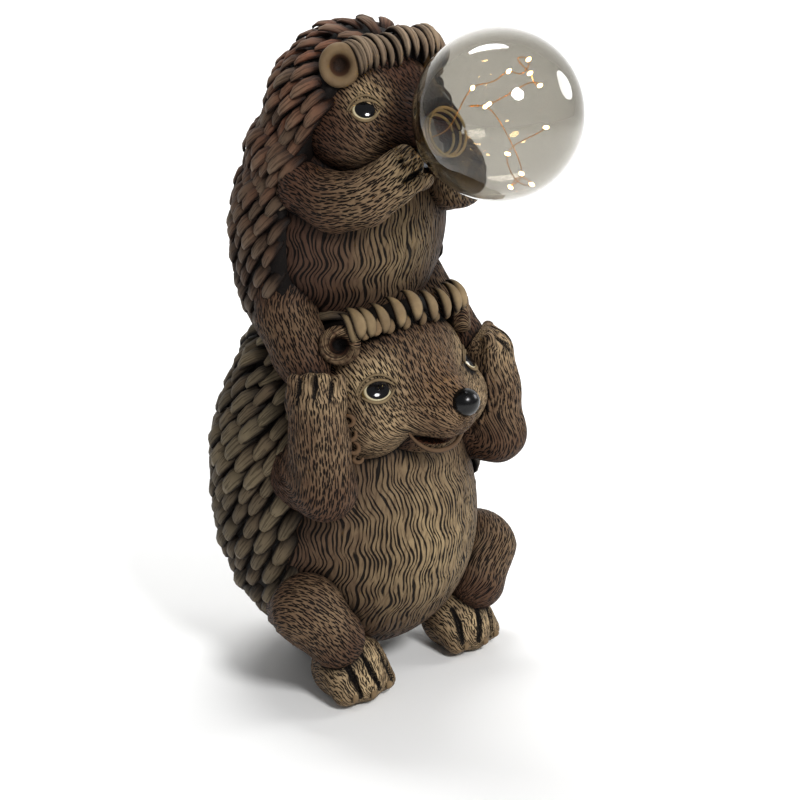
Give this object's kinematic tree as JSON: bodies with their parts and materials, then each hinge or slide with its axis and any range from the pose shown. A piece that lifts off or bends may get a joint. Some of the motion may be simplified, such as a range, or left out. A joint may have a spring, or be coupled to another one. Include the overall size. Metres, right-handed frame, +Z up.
{
  "type": "hedgehog garden statue",
  "caption": "Garden statue of a hedgehog riding on another's shoulders and blowing a clear round light globe like a bubble.",
  "frame": {"origin": "on the ground, on the flat underside of the lower hedgehog's body", "axes": "+Z up, the hedgehogs look along -Y, +X to their left"},
  "size_m": [0.178, 0.2341, 0.3852],
  "materials": {
    "resin": "painted and dry-brushed, satin matt",
    "glass": "clear and polished",
    "cap_plastic": "moulded, matt",
    "gloss_paint": "gloss black lacquer",
    "wire": "lacquered copper",
    "lamp": "clear resin drop over a lit chip"
  },
  "bodies": {
    "root": {"hedgehog_pair": "resin", "clear_globe": "glass", "neck_cap": "cap_plastic"}
  },
  "joints": []
}
